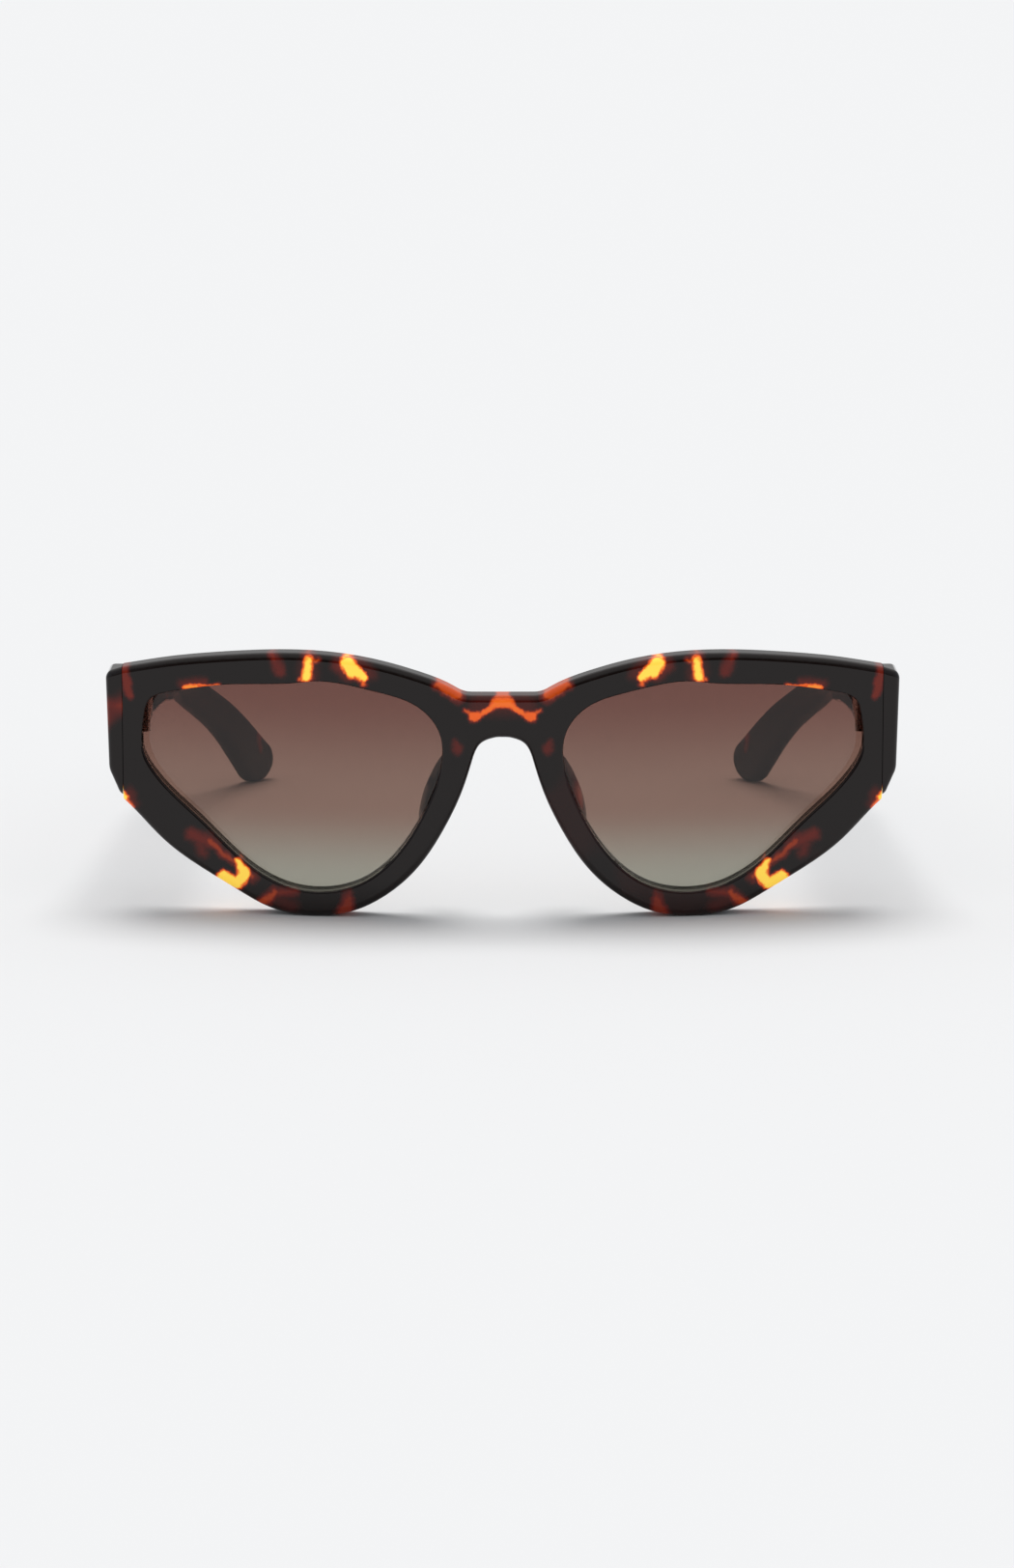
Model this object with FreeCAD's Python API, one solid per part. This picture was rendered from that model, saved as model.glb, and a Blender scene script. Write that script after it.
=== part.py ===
import FreeCAD, Part
import math
import os

# Cat eye sunglasses in thick acetate, open and standing on the rim bottoms and the temple tips.
# Millimetres. X runs across the face (+X is the wearer's left), Y from the front to the temple tips, Z up.
# While it is modelled, y = 0 is the front of the bridge and z = 0 the floor; finish() moves the origin to
# the middle of the whole object's base.

V = FreeCAD.Vector

# ---- driving sizes -------------------------------------------------------------------------------------
lens_width = 54.1          # boxed width of one lens opening
lens_height = 38.2         # boxed height of one lens opening
bridge_gap = 21.6          # between the two lens openings
rim_below = 4.6            # height of the rim under the lens opening
front_thick = 6.0          # front, measured through the acetate
wrap_radius = 260.0        # the front is bent round this radius
end_width = 3.75           # from the lens opening to the seam between front and temple
head_width = 3.1           # the temple head shows this much beside the seam
seam_gap = 0.12            # open joint between the front's end and the temple head
brow_round = 1.2           # rounded outer edges of the front
opening_ease = 0.4         # eased edges of the lens openings, front and back
lens_recess = 2.5          # lens face behind the front's face
lens_thick = 2.0
bevel_out = 0.7            # how far the lens bevel reaches into its groove
bevel_thick = 0.9
groove_clear = 0.1         # round the bevel
temple_gap = 0.2           # between the front's back and the temple head
temple_run = 81.6          # level run of the temple, from the first to the last straight station
bar_inside = 64.6          # inner face of the temple bar
barrel_r = 1.25            # hinge knuckles
barrel_count = 5
knuckle_high = 1.72
washer_thick = 0.31
washer_clear = 0.02        # above and below each washer
screw_r = 0.6
screw_clear = 0.05         # round the screw in the turning knuckles
screw_head_r = 0.95
screw_head_high = 0.5
rivet_r = 0.55
rivet_long = 2.4
leaf_thick = 1.0
leaf_wide = 2.5            # front hinge leaf, across
leaf_beside = 0.9          # from the lens opening to the front hinge leaf
leaf_long = 11.0           # temple hinge leaf
leaf_short = 1.1           # the temple leaf is this much less high at each end than the barrel
neck_wide = 0.85           # between a front leaf and its knuckles
rivet_sink = 0.1           # rivet heads under the leaf's face
rivet_apart = 5.4          # up the front leaf
temple_rivets_along = (4.0, 8.5)
rivet_drop = 0.4           # temple rivets under the barrel's middle
well_clear = 0.6           # round the barrel, in the temple
slot_wide = 0.28           # screw slot
slot_deep = 0.25
wire_half = 0.95           # core wire, half height
wire_half_thick = 0.55
pad_half = (2.7, 5.0, 8.6) # nose pad before it is cut: half thickness, half depth, half height
pad_splay = 14             # degrees, about the vertical
pad_lean = 21              # degrees, along the nose
head_slope = 0.35          # the temple head's top falls outwards
head_lean = 0.45           # its outer side leans in towards the bottom
head_cut_high = 4.8        # its lower corner is cut off and rounded
head_cut_out = 0.5
head_round_low = 4.0
head_round_foot = 1.6
head_round_top = 1.7
beside_points = 54         # points in a curve drawn beside another

# ---- worked out ----------------------------------------------------------------------------------------
lens_in = bridge_gap / 2
lens_out = lens_in + lens_width
lens_low = rim_below
lens_top = lens_low + lens_height
seam_x = lens_out + end_width
head_out = seam_x + head_width
back_r = wrap_radius - front_thick
tall = lens_top + 60.0     # taller than anything, for cutting tools
deep = 200.0


def bend(x):
    """Depth of the front's face at a place across it."""
    return wrap_radius - math.sqrt(wrap_radius ** 2 - x ** 2)


axis_x = bar_inside + 0.6
axis_y = bend(axis_x) + front_thick + barrel_r + 1.05
hinge_low = lens_top - 11.1
knuckle_pitch = knuckle_high + washer_thick + 2 * washer_clear
hinge_high = hinge_low + (barrel_count - 1) * knuckle_pitch + knuckle_high
hinge_middle = (hinge_low + hinge_high) / 2


def on_lens(u, v, dx=0.0, dz=0.0):
    """A point by its share of the lens opening's box, then a distance from there, in the XZ plane."""
    return V(lens_in + u * lens_width + dx, 0, lens_low + v * lens_height + dz)


def spline(points, start=None, end=None):
    """A smooth open curve through points, with a direction at each end where one is given."""
    curve = Part.BSplineCurve()
    if start is not None:
        curve.interpolate(Points=points, InitialTangent=start, FinalTangent=end)
    else:
        curve.interpolate(Points=points)
    return curve.toShape()


def prism(wire, way):
    """The solid that a closed flat wire sweeps along a straight way."""
    return Part.Face(wire).extrude(way)


def wrapped(low, high):
    """The bent slab between two depths behind the front's face."""
    centre = V(0, wrap_radius, -tall)
    outer = Part.makeCylinder(wrap_radius - low, 3 * tall, centre, V(0, 0, 1))
    inner = Part.makeCylinder(wrap_radius - high, 3 * tall, centre, V(0, 0, 1))
    half = Part.makeBox(4 * tall, wrap_radius, 3 * tall, V(-2 * tall, -1, -tall))
    return outer.cut(inner).common(half)


def mirrored(shape):
    return shape.mirror(V(0, 0, 0), V(1, 0, 0))


# ---- outlines ------------------------------------------------------------------------------------------
def opening_wire(grow=0.0):
    """The lens opening: a long flat brow, a tight upper outer corner and a straight lower outer side."""
    shares = [(0.458, 1.0), (0.73, 0.977), (0.905, 0.936), (0.977, 0.893), (0.998, 0.80), (1.0, 0.65),
              (0.963, 0.548), (0.802, 0.322), (0.641, 0.112), (0.512, 0.018), (0.40, 0.0), (0.268, 0.047),
              (0.144, 0.197), (0.046, 0.432), (0.002, 0.628), (0.009, 0.762), (0.078, 0.886),
              (0.218, 0.959)]
    curve = Part.BSplineCurve()
    curve.interpolate(Points=[on_lens(u, v) for u, v in shares], PeriodicFlag=True)
    if grow:
        curve = beside(curve, grow)
    return Part.Wire([curve.toShape()])


def beside(curve, distance):
    """A closed smooth curve at a distance outside another one that runs clockwise seen from the front."""
    first, last = curve.FirstParameter, curve.LastParameter
    points = []
    for number in range(beside_points):
        at = first + (last - first) * number / beside_points
        along = curve.tangent(at)[0]
        points.append(curve.value(at) + V(-along.z, 0, along.x) * distance)
    moved = Part.BSplineCurve()
    moved.interpolate(Points=points, PeriodicFlag=True)
    return moved


def front_wire():
    """The whole outline of the front, drawn for one half and mirrored."""
    top_middle = on_lens(0, 1.0, -lens_in, -2.05)
    shoulder = on_lens(0, 1.0, -5.2, -2.05)
    brow = [shoulder,
            on_lens(0, 1.0, -1.8, -0.85),
            on_lens(0.084, 1.0, 0, 1.7),
            on_lens(0.239, 1.0, 0, 3.9),
            on_lens(0.40, 1.0, 0, 5.05),
            on_lens(0.52, 1.0, 0, 5.2),
            on_lens(0.70, 1.0, 0, 4.65),
            on_lens(0.90, 1.0, 0, 3.4),
            on_lens(1.0, 1.0, end_width, 1.65)]
    end_low = on_lens(1.0, 0.40, end_width, 0.25)
    under = [end_low,
             on_lens(0.933, 0.33, 0, -4.3),
             on_lens(0.802, 0.20, 0, -4.3),
             on_lens(0.693, 0.115, 0, -4.5),
             on_lens(0.571, 0.027, 0, -4.5),
             on_lens(0.43, 0.0, 0, -4.6),
             on_lens(0.318, 0.015, 0, -4.5),
             on_lens(0.20, 0.091, 0, -4.5),
             on_lens(0.085, 0.235, 0, -4.6),
             on_lens(0.0, 0.30, -0.2, 0.1),
             on_lens(0.0, 0.485, -3.5, 0.0),
             on_lens(0.0, 0.622, -5.2, 0.0),
             on_lens(0.0, 0.680, -5.95, 0.0),
             on_lens(0.0, 0.724, -7.3, 0.0),
             on_lens(0.0, 0.743, -9.25, 0.0),
             on_lens(0.0, 0.746, -lens_in, 0.0)]
    half = [Part.makeLine(top_middle, shoulder),
            spline(brow, V(1, 0, 0), V(1, 0, -0.2)),
            Part.makeLine(brow[-1], end_low),
            spline(under, V(-1, 0, -0.85), V(-1, 0, 0))]
    other = [mirrored(edge) for edge in half]
    return Part.Wire(Part.__sortEdges__(half + other))


# ---- front ---------------------------------------------------------------------------------------------
def front_leaf_plate():
    """The front hinge leaf is let into the back of the front's end."""
    slab = wrapped(front_thick - leaf_thick, front_thick)
    block = Part.makeBox(leaf_wide, deep, hinge_high - hinge_low, V(lens_out + leaf_beside, 0, hinge_low))
    return slab.common(block)


def front_rivets():
    x = lens_out + leaf_beside + leaf_wide / 2
    y = bend(x) + front_thick - rivet_sink
    pins = []
    for z in (hinge_middle - rivet_apart / 2, hinge_middle + rivet_apart / 2):
        pins.append(Part.makeCylinder(rivet_r, rivet_long, V(x, y, z), V(0, -1, 0)))
    return pins


def front_frame():
    sweep = V(0, deep / 4, 0)
    body = rounded_front(prism(front_wire(), sweep).common(wrapped(0, front_thick)))
    hole = prism(opening_wire(), sweep)
    body = eased_openings(body.cut(hole).cut(mirrored(hole)))
    groove = prism(opening_wire(bevel_out + groove_clear), sweep)
    mid = lens_recess + lens_thick / 2
    reach = bevel_thick / 2 + groove_clear / 2
    groove = groove.common(wrapped(mid - reach, mid + reach))
    for tool in [groove, front_leaf_plate()] + front_rivets():
        body = body.cut(tool).cut(mirrored(tool))
    return body


def rounded_front(body):
    """Round the outer edges of the front's face and back, and leave the two end faces sharp."""
    edges = []
    for edge in body.Edges:
        box = edge.BoundBox
        at_end = box.XMin > seam_x - 0.01 or box.XMax < 0.01 - seam_x
        along_depth = box.XLength < 0.01 and box.ZLength < 0.01
        if not at_end and not along_depth:
            edges.append(edge)
    return body.makeFillet(brow_round, edges)


def eased_openings(body):
    """Ease the front and back edges of both lens openings."""
    edges = []
    for edge in body.Edges:
        box = edge.BoundBox
        if abs(box.XLength - lens_width) < 1 and abs(box.ZLength - lens_height) < 1:
            edges.append(edge)
    return body.makeFillet(opening_ease, edges)


def lens():
    sweep = V(0, deep / 4, 0)
    plate = prism(opening_wire(-0.1), sweep).common(wrapped(lens_recess, lens_recess + lens_thick))
    mid = lens_recess + lens_thick / 2
    bevel = prism(opening_wire(bevel_out), sweep)
    bevel = bevel.common(wrapped(mid - bevel_thick / 2, mid + bevel_thick / 2))
    return plate.fuse(bevel).removeSplitter()


def nose_pad():
    """A bonded pad: a smooth egg that leans along the nose and splays outwards, cut by the front's back."""
    ball = Part.makeSphere(1.0)
    stretch = FreeCAD.Matrix()
    stretch.scale(*pad_half)
    egg = ball.transformGeometry(stretch)
    egg.rotate(V(0, 0, 0), V(0, 0, 1), -pad_splay)
    egg.rotate(V(0, 0, 0), V(0, 1, 0), -pad_lean)
    egg.translate(V(lens_in + 0.3, front_thick + 2.4, lens_low + 0.46 * lens_height))
    behind = Part.makeCylinder(back_r, 3 * tall, V(0, wrap_radius, -tall), V(0, 0, 1))
    return egg.common(behind)


# ---- hinge ---------------------------------------------------------------------------------------------
def knuckle_floor(number):
    return hinge_low + number * knuckle_pitch


def knuckle(number, bore):
    base = V(axis_x, axis_y, knuckle_floor(number))
    round_part = Part.makeCylinder(barrel_r, knuckle_high, base, V(0, 0, 1))
    return round_part.cut(Part.makeCylinder(bore, knuckle_high, base, V(0, 0, 1)))


def front_hinge():
    leaf = front_leaf_plate()
    for pin in front_rivets():
        leaf = leaf.cut(pin)
    x_low = lens_out + leaf_beside + 0.05
    y_low = bend(lens_out) + front_thick - 0.6
    for number in range(0, barrel_count, 2):
        low = knuckle_floor(number)
        neck = Part.makeBox(neck_wide, axis_y - y_low, knuckle_high, V(x_low, y_low, low))
        bore = Part.makeCylinder(screw_r, knuckle_high, V(axis_x, axis_y, low), V(0, 0, 1))
        neck = neck.cut(bore).cut(wrapped(0, front_thick - 0.3))
        leaf = leaf.fuse(neck).fuse(knuckle(number, screw_r))
    return leaf.removeSplitter()


leaf_in = bar_inside - 0.3
leaf_from = axis_y + barrel_r + 0.35


def temple_rivets():
    pins = []
    for along in temple_rivets_along:
        place = V(leaf_in, leaf_from + along, hinge_middle - rivet_drop)
        pins.append(Part.makeCylinder(rivet_r, rivet_long + leaf_thick, place, V(1, 0, 0)))
    return pins


def temple_leaf_plate():
    high = hinge_high - hinge_low - 2 * leaf_short
    return Part.makeBox(leaf_thick, leaf_long, high, V(leaf_in, leaf_from, hinge_middle - high / 2 - 0.2))


def temple_hinge():
    leaf = temple_leaf_plate()
    for pin in temple_rivets():
        leaf = leaf.cut(pin)
    bore_r = screw_r + screw_clear
    for number in range(1, barrel_count, 2):
        low = knuckle_floor(number)
        neck = Part.makeBox(leaf_thick, leaf_from - axis_y + 0.3, knuckle_high, V(leaf_in, axis_y, low))
        bore = Part.makeCylinder(bore_r, knuckle_high, V(axis_x, axis_y, low), V(0, 0, 1))
        leaf = leaf.fuse(neck.cut(bore)).fuse(knuckle(number, bore_r))
    return leaf.removeSplitter()


def hinge_screw():
    base = V(axis_x, axis_y, hinge_low)
    shank = Part.makeCylinder(screw_r, hinge_high - hinge_low, base, V(0, 0, 1))
    head = Part.makeCylinder(screw_head_r, screw_head_high, V(axis_x, axis_y, hinge_high), V(0, 0, 1))
    corner = V(axis_x - 1.5, axis_y - slot_wide / 2, hinge_high + screw_head_high - slot_deep)
    return shank.fuse(head).cut(Part.makeBox(3, slot_wide, slot_deep, corner)).removeSplitter()


def hinge_washers():
    rings = []
    for number in range(barrel_count - 1):
        base = V(axis_x, axis_y, knuckle_floor(number) + knuckle_high + washer_clear)
        ring = Part.makeCylinder(barrel_r - 0.05, washer_thick, base, V(0, 0, 1))
        rings.append(ring.cut(Part.makeCylinder(screw_r + screw_clear, washer_thick, base, V(0, 0, 1))))
    return Part.makeCompound(rings)


# ---- temple --------------------------------------------------------------------------------------------
bar_start = axis_y + 3.4
bar_high = lens_top - 5.4
ear_y = bar_start + temple_run
tip_half = 4.3
# Stations along the temple: y, height of the middle, half height, middle across, half thickness.
stations = [
    (bar_start, bar_high, 4.9, bar_inside + 3.6, 3.6),
    (bar_start + 12, bar_high - 1.6, 4.5, bar_inside + 2.9, 2.9),
    (bar_start + 0.37 * temple_run, bar_high - 3.9, 4.0, bar_inside + 2.35, 2.35),
    (bar_start + 0.73 * temple_run, bar_high - 7.5, 3.7, bar_inside + 2.05, 2.05),
    (ear_y, bar_high - 10.8, 3.3, bar_inside + 1.8, 1.8),
    (ear_y + 11, 0.67 * bar_high, 3.1, bar_inside + 0.9, 1.8),
    (ear_y + 18, 0.56 * bar_high, 3.1, bar_inside - 2.2, 1.75),
    (ear_y + 26, 0.40 * bar_high, 3.3, bar_inside - 7.2, 1.7),
    (ear_y + 31.5, 0.24 * bar_high, 3.8, bar_inside - 11.0, 1.7),
    (ear_y + 35.5, tip_half, tip_half, bar_inside - 13.6, 1.7),
]
head_low = lens_low + 0.425 * lens_height
head_top = lens_top + 1.65     # at the seam, level with the end of the brow line
head_inner = axis_x + 1.75     # the head's inner side, outboard of the barrel
tip_over = 8.0                 # the plan view's strip runs past the last station, and the round end cuts it


def band(middles, halves, place, round_end):
    """A strip along a line of middles with its own half width at each, closed by a round or square end."""
    upper, lower = [], []
    for number, (a, b) in enumerate(middles):
        before = middles[max(number - 1, 0)]
        after = middles[min(number + 1, len(middles) - 1)]
        run, rise = after[0] - before[0], after[1] - before[1]
        size = math.hypot(run, rise)
        half = halves[number]
        upper.append(place(a - rise / size * half, b + run / size * half))
        lower.append(place(a + rise / size * half, b - run / size * half))
    edges = [spline(upper), spline(lower), Part.makeLine(upper[0], lower[0])]
    if round_end:
        last, half = middles[-1], halves[-1]
        run, rise = last[0] - middles[-2][0], last[1] - middles[-2][1]
        size = math.hypot(run, rise)
        nose = place(last[0] + run / size * half, last[1] + rise / size * half)
        edges.append(Part.Arc(upper[-1], nose, lower[-1]).toShape())
    else:
        edges.append(Part.makeLine(upper[-1], lower[-1]))
    return Part.Wire(Part.__sortEdges__(edges))


def side_place(y, z):
    return V(0, y, z)


def top_place(y, x):
    return V(x, y, 0)


def side_strip(chosen, halves):
    wire = band([(s[0], s[1]) for s in chosen], halves, side_place, True)
    return prism(wire, V(head_out + 20, 0, 0))


def top_strip(chosen, halves):
    middles = [(s[0], s[3]) for s in chosen]
    last, before = middles[-1], middles[-2]
    share = tip_over / (last[0] - before[0])
    middles.append((last[0] + tip_over, last[1] + (last[1] - before[1]) * share))
    wire = band(middles, halves + [halves[-1]], top_place, False)
    return prism(wire, V(0, 0, tall))


def head_block():
    """The head's outline seen from the front, swept back: it falls outwards, and its foot is cut off."""
    side = head_out - head_lean
    corners = [V(axis_x, 0, head_low), V(seam_x + head_cut_out, 0, head_low),
               V(side, 0, head_low + head_cut_high), V(head_out, 0, head_top - head_slope * head_width),
               V(axis_x, 0, head_top + head_slope * (seam_x - axis_x)), V(axis_x, 0, head_low)]
    block = prism(Part.makePolygon(corners), V(0, deep, 0))
    for size, corner in ((head_round_top, corners[3]), (head_round_low, corners[2]),
                         (head_round_foot, corners[1])):
        block = block.makeFillet(size, [edge for edge in block.Edges if runs_back_from(edge, corner)])
    return block


def runs_back_from(edge, corner):
    """Whether an edge is the straight one that starts at a corner of the outline."""
    box = edge.BoundBox
    near = abs(box.XMin - corner.x) < 0.01 and abs(box.ZMin - corner.z) < 0.01
    return near and box.YLength > deep / 2


def temple_head():
    """The tall head: flush with the front, as deep as the hinge, swept up underneath into the bar."""
    y_front = bend(seam_x) - 2.0
    back = bar_start + 12
    past_axis = axis_y + 0.5
    top_back = V(0, past_axis, head_top - 0.6)
    edges = [
        Part.makeLine(V(0, y_front, head_low), V(0, y_front, head_top + 1)),
        Part.makeLine(V(0, y_front, head_top + 1), top_back),
        spline([top_back, V(0, bar_start + 4, bar_high + 4.5), V(0, back, bar_high + 2.8)]),
        Part.makeLine(V(0, back, bar_high + 2.8), V(0, back, bar_high - 6.0)),
        spline([V(0, back, bar_high - 6.0), V(0, bar_start + 5, bar_high - 5.9),
                V(0, bar_start - 0.5, bar_high - 10.0), V(0, axis_y - 1.0, head_low)]),
        Part.makeLine(V(0, axis_y - 1.0, head_low), V(0, y_front, head_low)),
    ]
    side = prism(Part.Wire(Part.__sortEdges__(edges)), V(head_out + 20, 0, 0))
    plan = Part.makePolygon([V(head_inner, y_front, 0), V(head_out + 1, y_front, 0),
                             V(head_out + 1, bar_start, 0), V(head_out, bar_start, 0),
                             V(bar_inside + 5.8, back, 0), V(head_inner, back, 0), V(head_inner, y_front, 0)])
    head = side.common(prism(plan, V(0, 0, tall))).common(head_block())
    return head.cut(wrapped(-20, 0))


def on_front_face(edge):
    """Whether an edge lies in the face that goes on from the front's."""
    return all(abs(v.Y - bend(v.X)) < 0.01 for v in edge.Vertexes)


def rounded_head(head):
    """Round the head's front edges as the front's are, and leave its inner side sharp."""
    edges = [edge for edge in head.Edges
             if on_front_face(edge) and edge.BoundBox.XMax > head_inner + 0.01]
    return head.makeFillet(brow_round, edges)


def rounded_bar(bar):
    """Round every edge of the bar but those of its hidden front end."""
    edges = [edge for edge in bar.Edges if edge.BoundBox.YMax > bar_start + 1]
    return bar.makeFillet(brow_round, edges)


def temple():
    heights = [s[2] for s in stations]
    thicks = [s[4] for s in stations]
    bar = rounded_bar(side_strip(stations, heights).common(top_strip(stations, thicks)))
    body = bar.fuse(rounded_head(temple_head())).removeSplitter()
    beside_front = wrapped(-20, front_thick + temple_gap)
    inboard = Part.makeBox(seam_x + seam_gap, deep, 3 * tall, V(0, 0, -tall))
    body = body.cut(beside_front.common(inboard))
    well = Part.makeCylinder(barrel_r + well_clear, tall, V(axis_x, axis_y, hinge_low - 0.5), V(0, 0, 1))
    body = body.cut(well)
    for tool in [temple_leaf_plate(), core_wire()] + temple_rivets():
        body = body.cut(tool)
    return body


def core_wire():
    """A flat wire down the middle of the temple, clear of the hinge and of the tip."""
    inner = stations[1:-1]
    inner[0] = (inner[0][0] + 3.0,) + inner[0][1:]
    side = prism(band([(s[0], s[1]) for s in inner], [wire_half] * len(inner), side_place, False),
                 V(head_out + 20, 0, 0))
    plan = prism(band([(s[0], s[3]) for s in inner], [wire_half_thick] * len(inner), top_place, False),
                 V(0, 0, tall))
    return side.common(plan)


# ---- everything ----------------------------------------------------------------------------------------
def nodes():
    one_side = {
        "lens": lens(),
        "nose_pad": nose_pad(),
        "temple": temple(),
        "core_wire": core_wire(),
        "front_hinge": front_hinge(),
        "temple_hinge": temple_hinge(),
        "hinge_screw": hinge_screw(),
        "hinge_washers": hinge_washers(),
        "front_rivets": Part.makeCompound(front_rivets()),
        "temple_rivets": Part.makeCompound(temple_rivets()),
    }
    made = {"front_frame": front_frame()}
    for name, shape in one_side.items():
        made[name + "_left"] = shape
        made[name + "_right"] = mirrored(shape)
    return made


def finish(made):
    """Move the origin to the middle of the base, write one file for each node and print the key places."""
    box = FreeCAD.BoundBox()
    for shape in made.values():
        box.add(shape.optimalBoundingBox(False, False))
    shift = V(0, -(box.YMin + box.YMax) / 2, -box.ZMin)
    os.makedirs("parts", exist_ok=True)
    for name, shape in made.items():
        shape = shape.copy()
        shape.translate(shift)
        solids = shape.Solids
        print(name, len(solids), "solid(s)", round(sum(s.Volume for s in solids), 2), "mm3",
              "valid" if shape.isValid() else "NOT VALID")
        shape = solids[0] if len(solids) == 1 else Part.makeCompound(solids)
        shape.exportStep("parts/" + name + ".step")
    print("box", [round(v, 2) for v in (box.XMin, box.XMax, box.YMin, box.YMax, box.ZMin, box.ZMax)])
    print("shift", shift)
    print("hinge axis", axis_x, axis_y + shift.y, "from", hinge_low + shift.z, "to", hinge_high + shift.z)


finish(nodes())
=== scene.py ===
import math

import bpy
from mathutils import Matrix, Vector


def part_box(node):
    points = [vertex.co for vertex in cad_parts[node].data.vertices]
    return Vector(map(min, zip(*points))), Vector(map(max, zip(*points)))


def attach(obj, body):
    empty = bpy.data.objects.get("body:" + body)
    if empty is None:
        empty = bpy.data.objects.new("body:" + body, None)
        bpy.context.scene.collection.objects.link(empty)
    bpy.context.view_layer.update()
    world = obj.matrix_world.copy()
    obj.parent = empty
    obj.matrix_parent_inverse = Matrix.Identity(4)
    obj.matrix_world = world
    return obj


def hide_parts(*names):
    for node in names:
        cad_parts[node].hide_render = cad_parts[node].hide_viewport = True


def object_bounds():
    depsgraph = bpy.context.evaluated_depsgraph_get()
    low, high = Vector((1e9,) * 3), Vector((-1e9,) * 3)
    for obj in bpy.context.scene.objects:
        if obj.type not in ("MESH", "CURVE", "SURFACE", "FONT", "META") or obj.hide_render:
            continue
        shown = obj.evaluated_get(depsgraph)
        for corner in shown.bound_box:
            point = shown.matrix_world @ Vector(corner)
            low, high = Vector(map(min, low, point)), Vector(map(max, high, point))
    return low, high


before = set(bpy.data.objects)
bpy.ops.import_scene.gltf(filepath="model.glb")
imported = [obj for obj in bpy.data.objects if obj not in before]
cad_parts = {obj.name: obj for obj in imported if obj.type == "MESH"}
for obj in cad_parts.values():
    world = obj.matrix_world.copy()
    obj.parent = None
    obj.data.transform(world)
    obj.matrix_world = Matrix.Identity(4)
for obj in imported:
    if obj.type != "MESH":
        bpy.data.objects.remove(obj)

bl_info = {
    "name": "Cat eye sunglasses",
    "version": (1, 0, 0),
    "blender": (4, 5, 0),
    "location": "View3D > Sidebar > Sunglasses",
    "description": "Finishes thick tortoiseshell cat eye sunglasses and sets up their studio",
    "category": "Object",
}

CAD_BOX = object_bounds()
LOW, HIGH = (Vector(corner) for corner in CAD_BOX)
SIDES = ("left", "right")
MM = 0.001
SAME_PLACE = 0.0001 * MM
FLOOR_Z = LOW.z
BRIDGE_Y = LOW.y            # the front of the bridge
NODE_BOX = {name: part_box(name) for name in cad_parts}


# ---- fixed values of the finishes and the stage --------------------------------------------------------
WARPS = ((0.45, 1.3), (1.5, 0.55))     # noise scale per mm, and how many mm it pulls the strokes about
STROKE_CORE = -0.6          # a stroke is full this share of its halo inside its edge
STROKE_FADE = 1.9           # and gone this share outside it
MOTTLE_SCALE = 38.0         # per metre
MOTTLE_FADE = 0.13          # from the threshold to full amber
MOTTLE_WARP_SCALE = 70.0
MOTTLE_WARP = 0.012         # metres
PAINTED_AMBER_GLOW = 0.42           # painted glow: the amber gives off light of its own colour, standing in for light coming through it from behind
ACETATE_IOR = 1.36
LENS_IOR = 1.40
LENS_SHARES = (0.02, 0.42, 0.95)       # heights of the three tints, as shares of the lens
LENS_FACE_TURN = 0.7        # the two polished faces point along Y by more than this
FLOOR_SIZE = 60.0
FLOOR_UNDER = 0.00002
SUN_TOWARDS = (0.0, 0.34, 1.0)
SUN_POWER = 2.05
SUN_SPREAD = 38             # degrees
FLOOR_FILL = 0.50           # light of the surroundings on matt surfaces
BACKDROP = 0.90             # the surroundings as the camera sees them
CAMERA_ACROSS = 0.00078


# ---- sizes and colours that a user would change --------------------------------------------------------
class AcetateSettings(bpy.types.PropertyGroup):
    dark: bpy.props.FloatVectorProperty(
        name="Dark brown", description="Ground of the tortoiseshell", subtype="COLOR",
        default=(0.0078, 0.0044, 0.0038))
    red: bpy.props.FloatVectorProperty(
        name="Deep red", description="Thin halo round each amber patch", subtype="COLOR",
        default=(0.150, 0.010, 0.0055))
    orange: bpy.props.FloatVectorProperty(
        name="Orange", description="Edge of each amber patch", subtype="COLOR",
        default=(0.80, 0.105, 0.010))
    yellow: bpy.props.FloatVectorProperty(
        name="Amber yellow", description="Heart of the brightest patches", subtype="COLOR",
        default=(1.0, 0.66, 0.075))
    gloss: bpy.props.FloatProperty(
        name="Roughness", description="Roughness of the polished surface", default=0.045,
        min=0.0, max=1.0)


class LensSettings(bpy.types.PropertyGroup):
    top: bpy.props.FloatVectorProperty(
        name="Upper tint", description="Tint under the brow", subtype="COLOR",
        default=(0.150, 0.058, 0.044))
    middle: bpy.props.FloatVectorProperty(
        name="Middle tint", description="Tint half way down", subtype="COLOR",
        default=(0.235, 0.140, 0.108))
    bottom: bpy.props.FloatVectorProperty(
        name="Lower tint", description="Tint at the bottom of the lens", subtype="COLOR",
        default=(0.335, 0.330, 0.272))


class MetalSettings(bpy.types.PropertyGroup):
    colour: bpy.props.FloatVectorProperty(
        name="Metal colour", description="Nickel silver of hinges and rivets", subtype="COLOR",
        default=(0.56, 0.53, 0.49))
    roughness: bpy.props.FloatProperty(
        name="Roughness", description="Satin finish of the metal", default=0.26, min=0.0, max=1.0)


class StageSettings(bpy.types.PropertyGroup):
    distance: bpy.props.FloatProperty(
        name="Camera distance", description="From the camera to the plane of the bridge, level",
        default=0.950, unit="LENGTH")
    height: bpy.props.FloatProperty(
        name="Camera height", description="Above the surface that the glasses stand on",
        default=0.20135, unit="LENGTH")
    pitch: bpy.props.FloatProperty(
        name="Camera pitch", description="Down from level", default=math.radians(10.53),
        subtype="ANGLE")
    lens: bpy.props.FloatProperty(
        name="Focal length", description="In millimetres on a 36 mm sensor", default=123.7)
    floor_tone: bpy.props.FloatProperty(
        name="Floor tone", description="Reflectance of the floor", default=0.82, min=0.0, max=1.0)


# ---- helpers for meshes --------------------------------------------------------------------------------
def only(obj):
    """Make obj the one selected and active object."""
    bpy.ops.object.select_all(action="DESELECT")
    obj.select_set(True)
    bpy.context.view_layer.objects.active = obj


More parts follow.
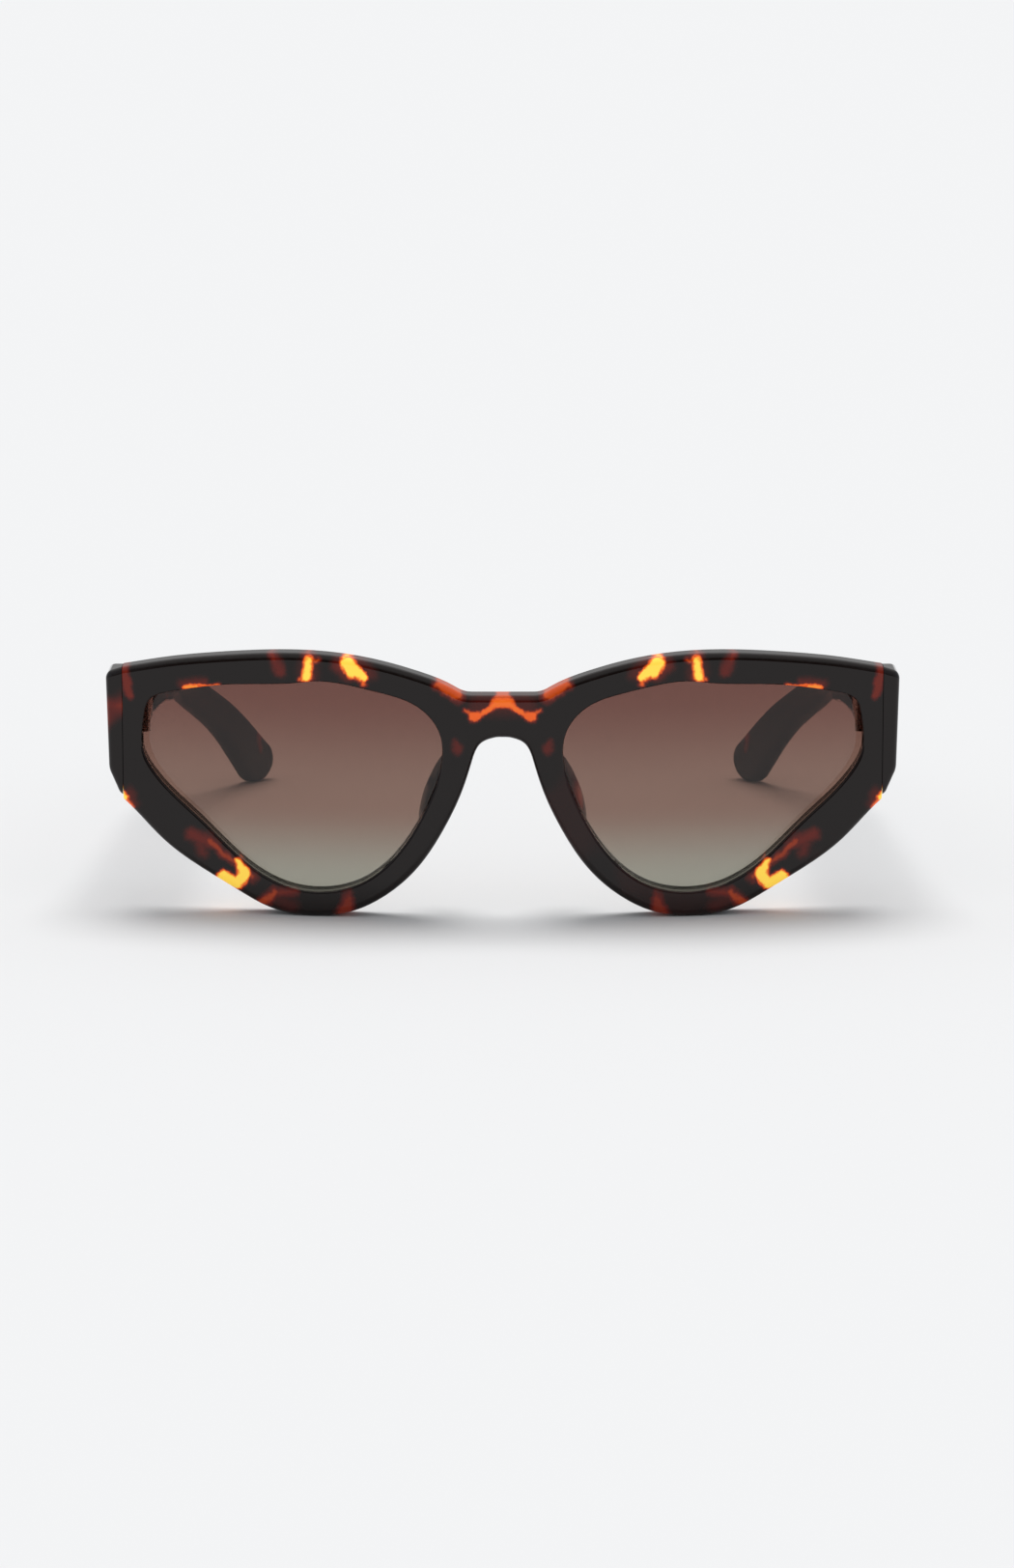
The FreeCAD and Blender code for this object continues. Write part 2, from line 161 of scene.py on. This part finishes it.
def merged_copy(node, name):
    """A separate object with the node's own mesh, merged into one skin that keeps its surface normals."""
    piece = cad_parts[node].copy()
    piece.data = piece.data.copy()
    piece.name = piece.data.name = name
    bpy.context.scene.collection.objects.link(piece)
    piece.parent = None
    keep_normals(piece.data)
    only(piece)
    bpy.ops.object.mode_set(mode="EDIT")
    bpy.ops.mesh.select_all(action="SELECT")
    bpy.ops.mesh.remove_doubles(threshold=SAME_PLACE)
    bpy.ops.object.mode_set(mode="OBJECT")
    give_normals(piece.data)
    return piece


def keep_normals(mesh):
    """Write each corner's normal to an attribute, which merging carries along."""
    kept = mesh.attributes.new("true_normal", "FLOAT_VECTOR", "CORNER")
    for corner, normal in enumerate(mesh.corner_normals):
        kept.data[corner].vector = normal.vector


def give_normals(mesh):
    """Set the corner normals back from the attribute and drop it."""
    kept = mesh.attributes["true_normal"]
    mesh.normals_split_custom_set([tuple(item.vector) for item in kept.data])
    mesh.attributes.remove(mesh.attributes["true_normal"])


def dress(piece, node, body, material):
    """The piece stands for its node, rides with its body and takes its finish from a slot."""
    piece.data.materials.clear()
    piece.data.materials.append(material)
    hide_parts(node)
    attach(piece, body)


def paint_node(node, material):
    """A CAD node whose shape is right gets its material."""
    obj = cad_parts[node]
    if not obj.material_slots:
        obj.data.materials.append(material)
    for slot in obj.material_slots:
        slot.material = material


# ---- helpers for node trees ----------------------------------------------------------------------------
class Tree:
    """Short ways to add and join nodes."""

    def __init__(self, tree):
        self.tree = tree

    def add(self, kind, **values):
        node = self.tree.nodes.new(kind)
        for key, value in values.items():
            setattr(node, key, value)
        return node

    def join(self, out, into):
        self.tree.links.new(out, into)

    def put(self, value, socket):
        if isinstance(value, bpy.types.NodeSocket):
            self.join(value, socket)
        else:
            socket.default_value = value

    def maths(self, operation, *values, clamp=False):
        node = self.add("ShaderNodeMath", operation=operation, use_clamp=clamp)
        for number, value in enumerate(values):
            self.put(value, node.inputs[number])
        return node.outputs[0]

    def vector(self, operation, a, b=None, scale=None):
        node = self.add("ShaderNodeVectorMath", operation=operation)
        self.put(a, node.inputs[0])
        if b is not None:
            self.put(b, node.inputs[1])
        if scale is not None:
            self.put(scale, node.inputs["Scale"])
        return node

    def mix(self, factor, a, b):
        node = self.add("ShaderNodeMix", data_type="RGBA")
        self.put(factor, node.inputs["Factor"])
        self.put(a, node.inputs[6])
        self.put(b, node.inputs[7])
        return node.outputs[2]

    def step(self, value, low, high, out_low=0.0, out_high=1.0):
        node = self.add("ShaderNodeMapRange", interpolation_type="SMOOTHSTEP")
        for number, item in enumerate((value, low, high, out_low, out_high)):
            self.put(item, node.inputs[number])
        return node.outputs[0]

    def noise(self, vector, scale, detail=2.0, rough=0.5):
        node = self.add("ShaderNodeTexNoise")
        self.put(vector, node.inputs["Vector"])
        self.put(scale, node.inputs["Scale"])
        self.put(detail, node.inputs["Detail"])
        self.put(rough, node.inputs["Roughness"])
        return node


def new_group(name, inputs, outputs):
    """An empty node group with named sockets: inputs are (name, kind, default)."""
    group = bpy.data.node_groups.new(name, "ShaderNodeTree")
    for label, kind, default in inputs:
        socket = group.interface.new_socket(label, in_out="INPUT", socket_type=kind)
        if default is not None:
            socket.default_value = default
    for label, kind in outputs:
        group.interface.new_socket(label, in_out="OUTPUT", socket_type=kind)
    tree = Tree(group)
    return group, tree, tree.add("NodeGroupInput"), tree.add("NodeGroupOutput")


def stroke_group():
    """One flowed stroke of amber, wider at one end than at the other, added to the heat so far."""
    name = "Amber stroke"
    if name in bpy.data.node_groups:
        return bpy.data.node_groups[name]
    group, tree, start, end = new_group(name, [
        ("Vector", "NodeSocketVector", None),
        ("From", "NodeSocketVector", None),
        ("Way", "NodeSocketVector", None),
        ("First Radius", "NodeSocketFloat", 1.0),
        ("Last Radius", "NodeSocketFloat", 1.0),
        ("Halo", "NodeSocketFloat", 0.5),
        ("Strength", "NodeSocketFloat", 1.0),
        ("Heat", "NodeSocketFloat", 0.0),
    ], [("Heat", "NodeSocketFloat")])
    read = start.outputs
    off = tree.vector("SUBTRACT", read["Vector"], read["From"]).outputs[0]
    along = tree.vector("DOT_PRODUCT", off, read["Way"]).outputs["Value"]
    length = tree.vector("DOT_PRODUCT", read["Way"], read["Way"]).outputs["Value"]
    share = tree.maths("DIVIDE", along, length, clamp=True)
    foot = tree.vector("SCALE", read["Way"], scale=share).outputs[0]
    away = tree.vector("LENGTH", tree.vector("SUBTRACT", off, foot).outputs[0]).outputs["Value"]
    spread = tree.maths("SUBTRACT", read["Last Radius"], read["First Radius"])
    growth = tree.maths("MULTIPLY", spread, share)
    edge = tree.maths("SUBTRACT", away, tree.maths("ADD", read["First Radius"], growth))
    inside = tree.maths("MULTIPLY", read["Halo"], STROKE_CORE)
    outside = tree.maths("MULTIPLY", read["Halo"], STROKE_FADE)
    heat = tree.maths("MULTIPLY", tree.step(edge, inside, outside, 1.0, 0.0), read["Strength"])
    tree.put(tree.maths("MAXIMUM", heat, read["Heat"]), end.inputs["Heat"])
    return group


def amber_ramp_group():
    """Dark brown through red and orange to yellow, as heat goes from none to full, and a painted glow of
    that colour that the surface gives off.
    """
    name = "Amber colours"
    if name in bpy.data.node_groups:
        return bpy.data.node_groups[name]
    group, tree, start, end = new_group(name, [
        ("Heat", "NodeSocketFloat", 0.0),
        ("Dark", "NodeSocketColor", None),
        ("Red", "NodeSocketColor", None),
        ("Orange", "NodeSocketColor", None),
        ("Yellow", "NodeSocketColor", None),
    ], [("Color", "NodeSocketColor"), ("Painted Glow", "NodeSocketColor")])
    heat = start.outputs["Heat"]
    red = tree.mix(tree.step(heat, 0.02, 0.46), start.outputs["Dark"], start.outputs["Red"])
    orange = tree.mix(tree.step(heat, 0.32, 0.64), red, start.outputs["Orange"])
    yellow = tree.mix(tree.step(heat, 0.60, 0.98), orange, start.outputs["Yellow"])
    tree.put(yellow, end.inputs["Color"])
    # painted glow, stronger as the heat rises
    painted_glow = tree.mix(tree.step(heat, 0.10, 0.80), (0, 0, 0, 1), yellow)
    tree.put(painted_glow, end.inputs["Painted Glow"])
    return group


def mottle_group():
    """Broad flowed mottling for the places that no stroke covers."""
    name = "Flowed mottle"
    if name in bpy.data.node_groups:
        return bpy.data.node_groups[name]
    group, tree, start, end = new_group(name, [
        ("Vector", "NodeSocketVector", None),
        ("Scale", "NodeSocketFloat", 55.0),
        ("Threshold", "NodeSocketFloat", 0.60),
        ("Strength", "NodeSocketFloat", 1.0),
    ], [("Heat", "NodeSocketFloat")])
    warp = tree.noise(start.outputs["Vector"], MOTTLE_WARP_SCALE, 2.0).outputs["Color"]
    middled = tree.vector("SUBTRACT", warp, (0.5, 0.5, 0.5)).outputs[0]
    pushed = tree.vector("SCALE", middled, scale=MOTTLE_WARP).outputs[0]
    vector = tree.vector("ADD", start.outputs["Vector"], pushed).outputs[0]
    cloud = tree.noise(vector, start.outputs["Scale"], 1.5, 0.45).outputs["Fac"]
    high = tree.maths("ADD", start.outputs["Threshold"], MOTTLE_FADE)
    heat = tree.step(cloud, start.outputs["Threshold"], high)
    tree.put(tree.maths("MULTIPLY", heat, start.outputs["Strength"]), end.inputs["Heat"])
    return group


def use_group(tree, group, **values):
    node = tree.add("ShaderNodeGroup", node_tree=group)
    for label, value in values.items():
        tree.put(value, node.inputs[label.replace("_", " ")])
    return node


def new_material(name):
    """A material with an empty tree, its principled shader and its output."""
    material = bpy.data.materials.new(name)
    material.use_nodes = True
    material.node_tree.nodes.clear()
    tree = Tree(material.node_tree)
    shader = tree.add("ShaderNodeBsdfPrincipled")
    output = tree.add("ShaderNodeOutputMaterial")
    tree.join(shader.outputs[0], output.inputs["Surface"])
    return material, tree, shader


# ---- acetate -------------------------------------------------------------------------------------------
# Strokes of amber on one half of the front, the other half is its twin: from and to, each across and up
# from the floor, first and last radius, halo, all in mm, and strength: 1 is yellow, 0.6 orange, 0.3 red.
FRONT_STROKES = (
    ((34.6, 46.8), (35.1, 43.8), 0.42, 0.55, 0.70, 1.00),      # tall streak over the lens
    ((34.6, 47.2), (34.9, 48.6), 0.40, 0.50, 1.10, 0.42),      # it goes on over the top edge
    ((35.2, 44.0), (36.2, 43.5), 0.30, 0.15, 0.60, 0.62),
    ((34.5, 46.3), (33.2, 46.9), 0.30, 0.12, 0.60, 0.52),
    ((34.8, 45.6), (34.8, 44.6), 1.10, 1.20, 1.30, 0.24),      # its dark red ground
    ((27.8, 46.2), (26.9, 45.2), 0.95, 1.15, 0.70, 1.06),      # round patch towards the nose
    ((26.5, 45.1), (24.8, 43.9), 0.85, 0.42, 0.60, 1.00),
    ((25.0, 43.7), (24.8, 42.9), 0.30, 0.15, 0.60, 0.66),
    ((27.6, 44.5), (25.8, 43.6), 0.35, 0.30, 0.60, 0.52),
    ((29.2, 46.0), (27.6, 45.0), 0.80, 1.20, 1.10, 0.36),
    ((25.6, 46.4), (23.6, 44.4), 0.60, 0.40, 1.20, 0.26),
    ((41.4, 48.0), (40.8, 46.8), 0.45, 0.55, 0.60, 0.36),      # dim red streak beside it
    ((40.8, 46.8), (39.9, 44.6), 0.55, 0.75, 0.80, 0.33),
    ((11.5, 42.9), (8.2, 41.0), 0.55, 0.85, 0.80, 0.50),       # where the brow meets the bridge
    ((9.0, 41.8), (7.8, 40.6), 0.50, 0.90, 0.80, 0.40),
    ((0.0, 41.6), (0.0, 40.0), 1.20, 1.25, 0.55, 0.50),        # middle of the bridge
    ((0.0, 39.7), (1.0, 39.3), 0.70, 0.70, 0.60, 0.66),
    ((0.8, 39.3), (3.7, 37.5), 0.50, 0.24, 0.50, 0.66),        # arm of the bow
    ((3.9, 37.4), (5.1, 37.0), 0.35, 0.85, 0.50, 0.62),        # end of the bow
    ((5.1, 37.3), (6.8, 38.1), 0.60, 0.15, 0.50, 0.52),
    ((0.0, 38.9), (4.2, 39.0), 0.90, 1.20, 1.50, 0.22),        # red ground round the bow
    ((8.4, 32.3), (8.1, 31.0), 0.20, 0.60, 0.70, 0.30),        # small red fleck on the nose side
    ((57.0, 41.35), (55.0, 41.5), 0.42, 0.30, 0.40, 0.72),     # thin line along the lens
    ((55.0, 41.5), (50.8, 41.75), 0.25, 0.08, 0.40, 0.62),
    ((57.6, 42.0), (53.6, 42.3), 0.20, 0.15, 1.00, 0.34),
    ((68.3, 44.2), (67.4, 39.4), 0.85, 0.55, 0.45, 0.36),      # red beside the seam
    ((68.8, 21.3), (68.3, 20.6), 0.40, 0.40, 0.50, 1.00),      # bright fleck under the seam
    ((68.2, 20.6), (67.3, 18.9), 0.35, 0.20, 0.60, 0.64),
    ((67.6, 21.6), (66.8, 19.6), 0.40, 0.40, 1.00, 0.26),
    ((50.6, 7.0), (48.2, 5.5), 0.72, 0.80, 0.60, 1.04),        # lower arm of the fork
    ((47.8, 9.8), (46.7, 7.6), 0.30, 0.85, 0.60, 1.00),        # upper arm of the fork
    ((46.7, 7.4), (48.0, 5.8), 0.85, 0.75, 0.60, 0.98),
    ((46.4, 7.4), (45.2, 6.8), 0.60, 0.40, 0.90, 0.44),
    ((56.2, 14.4), (53.0, 13.0), 0.80, 0.80, 0.90, 0.34),      # red up the lower outer side
    ((53.0, 13.2), (48.6, 9.6), 0.55, 0.40, 0.60, 0.42),
    ((54.8, 13.0), (54.2, 11.2), 0.60, 0.30, 1.10, 0.30),
    ((43.6, 2.2), (41.2, 4.2), 0.60, 0.60, 0.80, 0.44),        # dim red below the lens
    ((41.0, 4.2), (37.6, 4.4), 0.55, 0.35, 0.90, 0.36),
    ((40.8, 3.4), (38.2, 2.0), 0.80, 0.80, 1.40, 0.20),
    ((28.0, 4.2), (28.2, 0.8), 0.30, 1.50, 0.90, 0.38),        # dim red at the nose end
)
TEMPLE_STROKES = (
    ((49.8, 10.2), (49.6, 6.4), 0.28, 0.10, 0.40, 0.42),       # thin red streak down the tip
)


def tortoise(name, strokes, mottle, threshold):
    """Polished tortoiseshell: placed strokes, mottle elsewhere, over a near black brown, with a painted
    glow in the amber.
    """
    look = bpy.context.scene.sunglasses_acetate
    material, tree, shader = new_material(name)
    where = tree.add("ShaderNodeTexCoord").outputs["Object"]
    in_mm = tree.vector("SCALE", where, scale=1 / MM).outputs[0]
    folded = tree.vector("ABSOLUTE", in_mm).outputs[0]
    flat = tree.vector("MULTIPLY", folded, (1, 0, 1)).outputs[0]
    warped = flat
    for scale, reach in WARPS:
        cloud = tree.noise(folded, scale, 2.0).outputs["Color"]
        push = tree.vector("SUBTRACT", cloud, (0.5, 0.5, 0.5)).outputs[0]
        push = tree.vector("MULTIPLY", push, (reach, 0, reach)).outputs[0]
        warped = tree.vector("ADD", warped, push).outputs[0]
    heat = 0.0
    for (x, z), (x_to, z_to), first, last, halo, strength in strokes:
        way = (x_to - x, 0, z_to - z)
        stroke = use_group(tree, stroke_group(), Vector=warped, From=(x, 0, z), Way=way, First_Radius=first,
                           Last_Radius=last, Halo=halo, Strength=strength, Heat=heat)
        heat = stroke.outputs[0]
    flow = use_group(tree, mottle_group(), Vector=where, Scale=MOTTLE_SCALE, Threshold=threshold,
                     Strength=mottle)
    heat = tree.maths("MAXIMUM", heat, flow.outputs[0])
    ramp = use_group(tree, amber_ramp_group(), Heat=heat, Dark=(*look.dark, 1), Red=(*look.red, 1),
                     Orange=(*look.orange, 1), Yellow=(*look.yellow, 1))
    tree.join(ramp.outputs["Color"], shader.inputs["Base Color"])
    # painted glow: the amber parts emit light, standing in for light coming through them from behind
    tree.join(ramp.outputs["Painted Glow"], shader.inputs["Emission Color"])
    shader.inputs["Emission Strength"].default_value = PAINTED_AMBER_GLOW
    wear = tree.noise(where, 900.0, 3.0).outputs["Fac"]
    tree.join(tree.step(wear, 0.35, 0.75, look.gloss * 0.7, look.gloss * 1.5), shader.inputs["Roughness"])
    ripple = tree.add("ShaderNodeBump")
    ripple.inputs["Strength"].default_value = 0.02
    ripple.inputs["Distance"].default_value = 0.00004
    tree.join(tree.noise(where, 160.0, 1.0).outputs["Fac"], ripple.inputs["Height"])
    tree.join(ripple.outputs[0], shader.inputs["Normal"])
    shader.inputs["IOR"].default_value = ACETATE_IOR
    return material


class SUNGLASSES_OT_front(bpy.types.Operator):
    """Make the front frame: one thick bent piece of polished tortoiseshell"""
    bl_idname = "sunglasses.front"
    bl_label = "Front frame"

    def execute(self, context):
        piece = merged_copy("front_frame", "front_acetate")
        dress(piece, "front_frame", "front",
              tortoise("Tortoiseshell front", FRONT_STROKES, 0.10, 0.60))
        return {"FINISHED"}


class SUNGLASSES_OT_temples(bpy.types.Operator):
    """Make both temples with their tall heads and paddle tips"""
    bl_idname = "sunglasses.temples"
    bl_label = "Temples"

    def execute(self, context):
        material = tortoise("Tortoiseshell temple", TEMPLE_STROKES, 0.95, 0.572)
        for side in SIDES:
            piece = merged_copy("temple_" + side, "temple_acetate_" + side)
            dress(piece, "temple_" + side, "temple_arm_" + side, material)
        return {"FINISHED"}


class SUNGLASSES_OT_pads(bpy.types.Operator):
    """Make the two bonded nose pads"""
    bl_idname = "sunglasses.pads"
    bl_label = "Nose pads"

    def execute(self, context):
        material = tortoise("Tortoiseshell pad", (), 0.6, 0.56)
        for side in SIDES:
            piece = merged_copy("nose_pad_" + side, "nose_rest_" + side)
            dress(piece, "nose_pad_" + side, "front", material)
        return {"FINISHED"}


# ---- lenses --------------------------------------------------------------------------------------------
def gradient_lens():
    """Clear polished sheet, red brown under the brow and grey green at the bottom."""
    look = bpy.context.scene.sunglasses_lens
    material, tree, shader = new_material("Gradient lens")
    low, high = NODE_BOX["lens_left"]
    where = tree.add("ShaderNodeTexCoord").outputs["Object"]
    parts = tree.add("ShaderNodeSeparateXYZ")
    tree.join(where, parts.inputs[0])
    bottom, middle, top = (low[2] + share * (high[2] - low[2]) for share in LENS_SHARES)
    upper = tree.mix(tree.step(parts.outputs["Z"], middle, top), (*look.middle, 1), (*look.top, 1))
    colour = tree.mix(tree.step(parts.outputs["Z"], bottom, middle), (*look.bottom, 1), upper)
    tree.join(colour, shader.inputs["Base Color"])
    shader.inputs["Transmission Weight"].default_value = 1.0
    shader.inputs["Roughness"].default_value = 0.0
    shader.inputs["IOR"].default_value = LENS_IOR
    return material


def lens_edge_in_painted_shade():
    """The ground rim of a lens, painted near black as the shade of the groove it sits in."""
    material, tree, shader = new_material("Lens edge painted with groove shade")
    where = tree.add("ShaderNodeTexCoord").outputs["Object"]
    grain = tree.noise(where, 3000.0, 2.0).outputs["Fac"]
    # painted shade: near black, for the shade inside the groove, with a fine grain of the ground surface
    colour = tree.mix(grain, (0.010, 0.007, 0.006, 1), (0.030, 0.022, 0.018, 1))
    tree.join(colour, shader.inputs["Base Color"])
    tree.join(tree.step(grain, 0.2, 0.8, 0.55, 0.75), shader.inputs["Roughness"])
    return material


class SUNGLASSES_OT_lenses(bpy.types.Operator):
    """Make both gradient lenses"""
    bl_idname = "sunglasses.lenses"
    bl_label = "Lenses"

    def execute(self, context):
        clear, ground = gradient_lens(), lens_edge_in_painted_shade()
        for side in SIDES:
            piece = merged_copy("lens_" + side, "gradient_lens_" + side)
            dress(piece, "lens_" + side, "front", clear)
            piece.data.materials.append(ground)
            # the rim faces take the painted groove shade
            for face in piece.data.polygons:
                if abs(face.normal.y) < LENS_FACE_TURN:
                    face.material_index = 1
        return {"FINISHED"}


# ---- metal and nylon -----------------------------------------------------------------------------------
def satin_metal(name, colour, roughness, scale):
    """Stamped and tumbled nickel silver, with fine drawn lines and a little tarnish."""
    material, tree, shader = new_material(name)
    where = tree.add("ShaderNodeTexCoord").outputs["Object"]
    stretch = tree.add("ShaderNodeMapping")
    tree.join(where, stretch.inputs["Vector"])
    stretch.inputs["Scale"].default_value = (1.0, 0.12, 1.0)
    lines = tree.noise(stretch.outputs[0], scale, 4.0).outputs["Fac"]
    stain = tree.noise(where, 420.0, 2.0).outputs["Fac"]
    darker = tuple(0.62 * c for c in colour)
    tree.join(tree.mix(tree.step(stain, 0.45, 0.75), (*colour, 1), (*darker, 1)),
              shader.inputs["Base Color"])
    tree.join(tree.step(lines, 0.2, 0.8, roughness * 0.7, roughness * 1.6), shader.inputs["Roughness"])
    bump = tree.add("ShaderNodeBump")
    bump.inputs["Strength"].default_value = 0.25
    bump.inputs["Distance"].default_value = 0.00002
    tree.join(lines, bump.inputs["Height"])
    tree.join(bump.outputs[0], shader.inputs["Normal"])
    shader.inputs["Metallic"].default_value = 1.0
    return material


def natural_nylon():
    material, tree, shader = new_material("Natural nylon")
    where = tree.add("ShaderNodeTexCoord").outputs["Object"]
    cloud = tree.noise(where, 700.0, 3.0).outputs["Fac"]
    tree.join(tree.mix(cloud, (0.70, 0.68, 0.60, 1), (0.86, 0.85, 0.80, 1)), shader.inputs["Base Color"])
    tree.join(tree.step(cloud, 0.3, 0.7, 0.42, 0.55), shader.inputs["Roughness"])
    return material


class SUNGLASSES_OT_hinges(bpy.types.Operator):
    """Finish hinge leaves, screws, rivets, core wires and washers"""
    bl_idname = "sunglasses.hinges"
    bl_label = "Hinges"

    def execute(self, context):
        look = context.scene.sunglasses_metal
        leaf = satin_metal("Satin nickel silver", tuple(look.colour), look.roughness, 2600.0)
        bright = satin_metal("Bright turned steel", (0.66, 0.65, 0.64), look.roughness * 0.7, 4200.0)
        nylon = natural_nylon()
        for side in SIDES:
            for kind in ("front_hinge", "temple_hinge", "core_wire", "front_rivets", "temple_rivets"):
                paint_node(kind + "_" + side, leaf)
            paint_node("hinge_screw_" + side, bright)
            paint_node("hinge_washers_" + side, nylon)
        return {"FINISHED"}


# ---- stage ---------------------------------------------------------------------------------------------
def pale_floor():
    look = bpy.context.scene.sunglasses_stage
    material, tree, shader = new_material("Pale floor")
    tone = look.floor_tone
    shader.inputs["Base Color"].default_value = (tone, tone, tone, 1)
    shader.inputs["Roughness"].default_value = 1.0
    shader.inputs["Specular IOR Level"].default_value = 0.0
    return material


def add_sun(name, towards, power, spread):
    """A broad lamp infinitely far off, so that the floor is lit evenly all over."""
    bpy.ops.object.select_all(action="DESELECT")
    bpy.ops.object.light_add(type="SUN", location=(0, 0, 1))
    light = bpy.context.active_object
    light.name = name
    light.data.energy = power
    light.data.angle = math.radians(spread)
    light.rotation_euler = Vector(towards).to_track_quat("Z", "Y").to_euler()
    light.visible_glossy = False
    return light


def add_world():
    """Soft boxes far off: bright above and behind, cool at the sides, dim in front of the face."""
    world = bpy.data.worlds.new("Soft studio")
    bpy.context.scene.world = world
    world.use_nodes = True
    tree = Tree(world.node_tree)
    world.node_tree.nodes.clear()
    parts = tree.add("ShaderNodeSeparateXYZ")
    tree.join(tree.add("ShaderNodeTexCoord").outputs["Generated"], parts.inputs[0])
    side = tree.step(tree.maths("ABSOLUTE", parts.outputs["X"]), 0.50, 0.80, 0.0, 0.55)
    above = tree.step(parts.outputs["Z"], 0.25, 0.90, 0.0, 0.75)
    behind = tree.step(parts.outputs["Y"], 0.05, 0.75, 0.06, 0.42)
    box = tree.maths("ADD", tree.maths("MAXIMUM", side, above), behind)
    tint = tree.mix(side, (1, 1, 1, 1), (0.70, 0.82, 1.0, 1))
    seen = tree.add("ShaderNodeLightPath").outputs
    level = tree.maths("ADD", tree.maths("MULTIPLY", box, seen["Is Glossy Ray"]),
                       tree.maths("MULTIPLY", FLOOR_FILL, seen["Is Diffuse Ray"]))
    straight = tree.maths("MAXIMUM", seen["Is Camera Ray"], seen["Is Transmission Ray"])
    level = tree.maths("MAXIMUM", level, tree.maths("MULTIPLY", BACKDROP, straight))
    background = tree.add("ShaderNodeBackground")
    tree.join(tint, background.inputs["Color"])
    tree.join(level, background.inputs["Strength"])
    output = tree.add("ShaderNodeOutputWorld")
    tree.join(background.outputs[0], output.inputs["Surface"])


class SUNGLASSES_OT_stage(bpy.types.Operator):
    """Make the floor, the light and the camera"""
    bl_idname = "sunglasses.stage"
    bl_label = "Stage"

    def execute(self, context):
        look = context.scene.sunglasses_stage
        bpy.ops.object.select_all(action="DESELECT")
        bpy.ops.mesh.primitive_plane_add(size=FLOOR_SIZE, location=(0, 0, FLOOR_Z - FLOOR_UNDER))
        floor = context.active_object
        floor.name = "floor"
        bpy.ops.object.transform_apply(location=True, rotation=True, scale=True)
        floor.data.materials.append(pale_floor())
        add_world()
        add_sun("overhead", SUN_TOWARDS, SUN_POWER, SUN_SPREAD)
        camera_data = bpy.data.cameras.new("camera")
        camera = bpy.data.objects.new("camera", camera_data)
        context.scene.collection.objects.link(camera)
        camera_data.lens = look.lens
        camera_data.sensor_width = 36.0
        camera_data.clip_start = 0.01
        camera.location = (CAMERA_ACROSS, BRIDGE_Y - look.distance, FLOOR_Z + look.height)
        camera.rotation_euler = (math.pi / 2 - look.pitch, 0, 0)
        context.scene.camera = camera
        context.scene.view_settings.view_transform = "Standard"
        context.scene.view_settings.look = "None"
        return {"FINISHED"}


# ---- panel and registration ----------------------------------------------------------------------------
PIECES = (
    SUNGLASSES_OT_front,
    SUNGLASSES_OT_temples,
    SUNGLASSES_OT_pads,
    SUNGLASSES_OT_lenses,
    SUNGLASSES_OT_hinges,
    SUNGLASSES_OT_stage,
)
GROUPS = {
    "sunglasses_acetate": AcetateSettings,
    "sunglasses_lens": LensSettings,
    "sunglasses_metal": MetalSettings,
    "sunglasses_stage": StageSettings,
}


class SUNGLASSES_PT_panel(bpy.types.Panel):
    """Lists the pieces of the sunglasses"""
    bl_label = "Sunglasses"
    bl_idname = "SUNGLASSES_PT_panel"
    bl_space_type = "VIEW_3D"
    bl_region_type = "UI"
    bl_category = "Sunglasses"

    def draw(self, context):
        for piece in PIECES:
            self.layout.operator(piece.bl_idname)
        for name, group in GROUPS.items():
            column = self.layout.column()
            for field in group.bl_rna.properties:
                if not field.is_readonly and field.identifier != "name":
                    column.prop(getattr(context.scene, name), field.identifier)


def register():
    for group in GROUPS.values():
        bpy.utils.register_class(group)
    for item in PIECES + (SUNGLASSES_PT_panel,):
        bpy.utils.register_class(item)
    for name, group in GROUPS.items():
        setattr(bpy.types.Scene, name, bpy.props.PointerProperty(type=group))


def unregister():
    for name in GROUPS:
        delattr(bpy.types.Scene, name)
    for item in PIECES + (SUNGLASSES_PT_panel,):
        bpy.utils.unregister_class(item)
    for group in GROUPS.values():
        bpy.utils.unregister_class(group)


def main():
    """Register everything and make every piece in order."""
    register()
    for piece in PIECES:
        group, name = piece.bl_idname.split(".")
        getattr(getattr(bpy.ops, group), name)()


if __name__ == "__main__":
    main()
